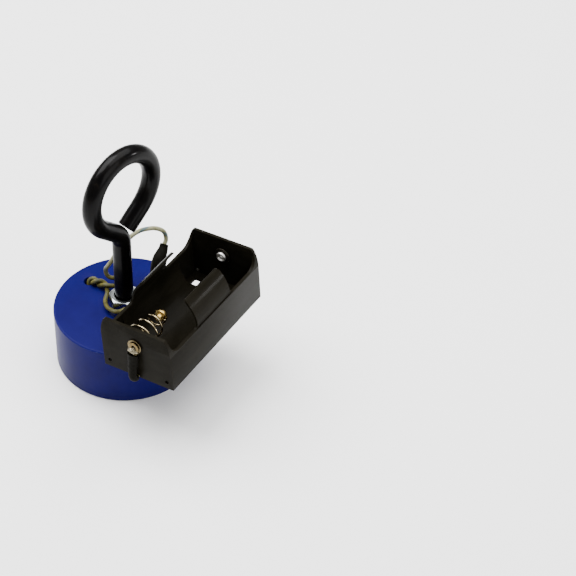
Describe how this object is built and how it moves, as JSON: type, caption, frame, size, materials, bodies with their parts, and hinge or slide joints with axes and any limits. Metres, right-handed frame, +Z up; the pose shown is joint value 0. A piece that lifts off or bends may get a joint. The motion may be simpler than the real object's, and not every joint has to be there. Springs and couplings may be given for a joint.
{
  "type": "electromagnet",
  "caption": "Pot electromagnet with a bent lifting eye, a lock nut and a tilted battery holder, wired by thin leads.",
  "frame": {"origin": "centre of the pole face, which the magnet stands on", "axes": "+Z up along the magnet's axis and the eyebolt's shank, +Y along the battery holder from its spring end to its rivet end, +X from the shank towards the holder"},
  "size_m": [0.0859, 0.082, 0.1211],
  "materials": {
    "blue_paint": "gloss",
    "black_moulding": "satin",
    "enamelled_copper": "gloss",
    "dark_resin": "satin",
    "natural_nylon": "satin",
    "black_steel": "gloss",
    "bright_zinc": "bright",
    "brass": "bright",
    "nickel": "bright",
    "tinned_brass": "satin",
    "solder": "bright",
    "black_sleeve": "satin",
    "insulation": "gloss"
  },
  "bodies": {
    "root": {"magnet_pot": "blue_paint", "coil_bobbin": "natural_nylon", "coil_winding": "enamelled_copper", "pole_seal": "dark_resin", "eyebolt": "black_steel", "lock_nut": "bright_zinc", "battery_holder": "black_moulding", "contact_spring": "nickel", "contact_button": "brass", "spring_eyelet": "brass", "positive_rivet": "nickel", "contact_washer": "nickel", "front_lug": "tinned_brass", "back_lug": "tinned_brass", "front_solder": "solder", "back_solder": "solder", "front_lug_sleeve": "black_sleeve", "back_lug_sleeve": "black_sleeve", "splice_sleeve": "black_sleeve", "lead_front": "insulation", "lead_arch": "insulation", "link_lead": "insulation"}
  },
  "joints": []
}
